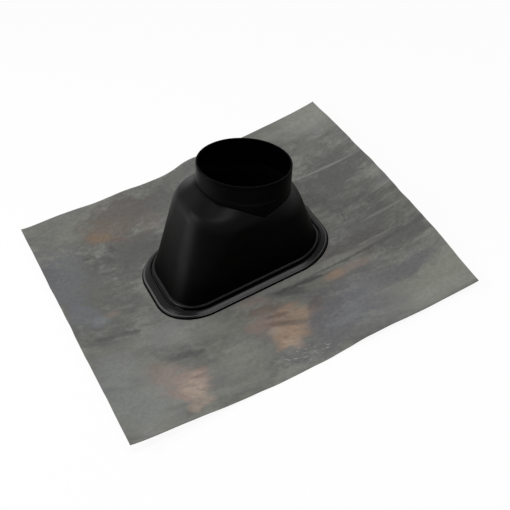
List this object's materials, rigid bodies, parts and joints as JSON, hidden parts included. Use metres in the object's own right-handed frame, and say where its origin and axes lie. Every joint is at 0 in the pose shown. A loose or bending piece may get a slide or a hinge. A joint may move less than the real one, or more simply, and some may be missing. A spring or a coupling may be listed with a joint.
{
  "type": "flue flashing",
  "caption": "Pitched roof flue flashing: a black moulded hood with a leaning round collar, bonded by its stepped flange to a square sheet of soft grey lead.",
  "frame": {"origin": "middle of the lead sheet's underside, on the roof plane", "axes": "+Z square to the roof, out of it; +X up the roof's slope, the way the collar leans"},
  "size_m": [0.5011, 0.503, 0.1659],
  "materials": {
    "lead": "dull rolled lead, stained",
    "black_plastic": "satin black moulded plastic",
    "sealant": "cured black bonding compound"
  },
  "bodies": {
    "root": {"lead_sheet": "lead", "hood": "black_plastic", "sealing_bead": "sealant"}
  },
  "joints": []
}
